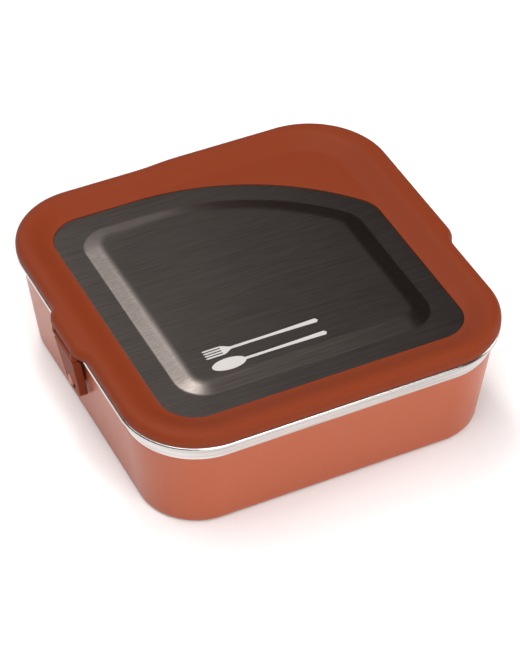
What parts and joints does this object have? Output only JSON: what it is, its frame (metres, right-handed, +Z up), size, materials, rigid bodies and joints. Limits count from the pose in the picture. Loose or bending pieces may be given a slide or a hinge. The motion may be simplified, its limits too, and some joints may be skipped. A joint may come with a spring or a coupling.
{
  "type": "lunch box",
  "caption": "Square steel food box with a moulded lift-off lid, an inset steel lid plate, a plug seal and swing-up side latches that hook over studs.",
  "frame": {"origin": "middle of the flat base, on the surface the box stands on", "axes": "+Z up through the lid, +X to the right latch, -Y to the plain front, +Y to the edge with the pull corner"},
  "size_m": [0.1768, 0.1712, 0.0555],
  "materials": {
    "coated_steel": "satin powder coat outside, bare steel rim and inside",
    "lid_moulding": "matte, soft-touch moulding",
    "brushed_plate": "brushed along X",
    "seal_rubber": "translucent pale silicone",
    "pin_steel": "drawn wire"
  },
  "bodies": {
    "tray": {"body_shell": "coated_steel", "left_stud": "coated_steel", "right_stud": "coated_steel"},
    "lid": {"lid_frame": "lid_moulding", "lid_plate": "brushed_plate", "seal_ring": "seal_rubber", "left_hinge_pin": "pin_steel", "right_hinge_pin": "pin_steel"},
    "left_latch_arm": {"left_latch": "lid_moulding"},
    "right_latch_arm": {"right_latch": "lid_moulding"}
  },
  "joints": [
    {"name": "lid_lift", "type": "slide", "parent": "tray", "child": "lid", "axis": [0, 0, 1], "range_m": [0, 0.02]},
    {"name": "left_latch_swing", "type": "hinge", "parent": "lid", "child": "left_latch_arm", "pos_m": [-0.08685, 0, 0.0472], "axis": [0, 1, 0], "range_deg": [0, 110]},
    {"name": "right_latch_swing", "type": "hinge", "parent": "lid", "child": "right_latch_arm", "pos_m": [0.08685, 0, 0.0472], "axis": [0, -1, 0], "range_deg": [0, 110]}
  ],
  "couplings": [
    {"joint": "left_latch_swing", "follows": "lid_lift", "rad_per_m": 95.99},
    {"joint": "right_latch_swing", "follows": "lid_lift", "rad_per_m": 95.99}
  ]
}
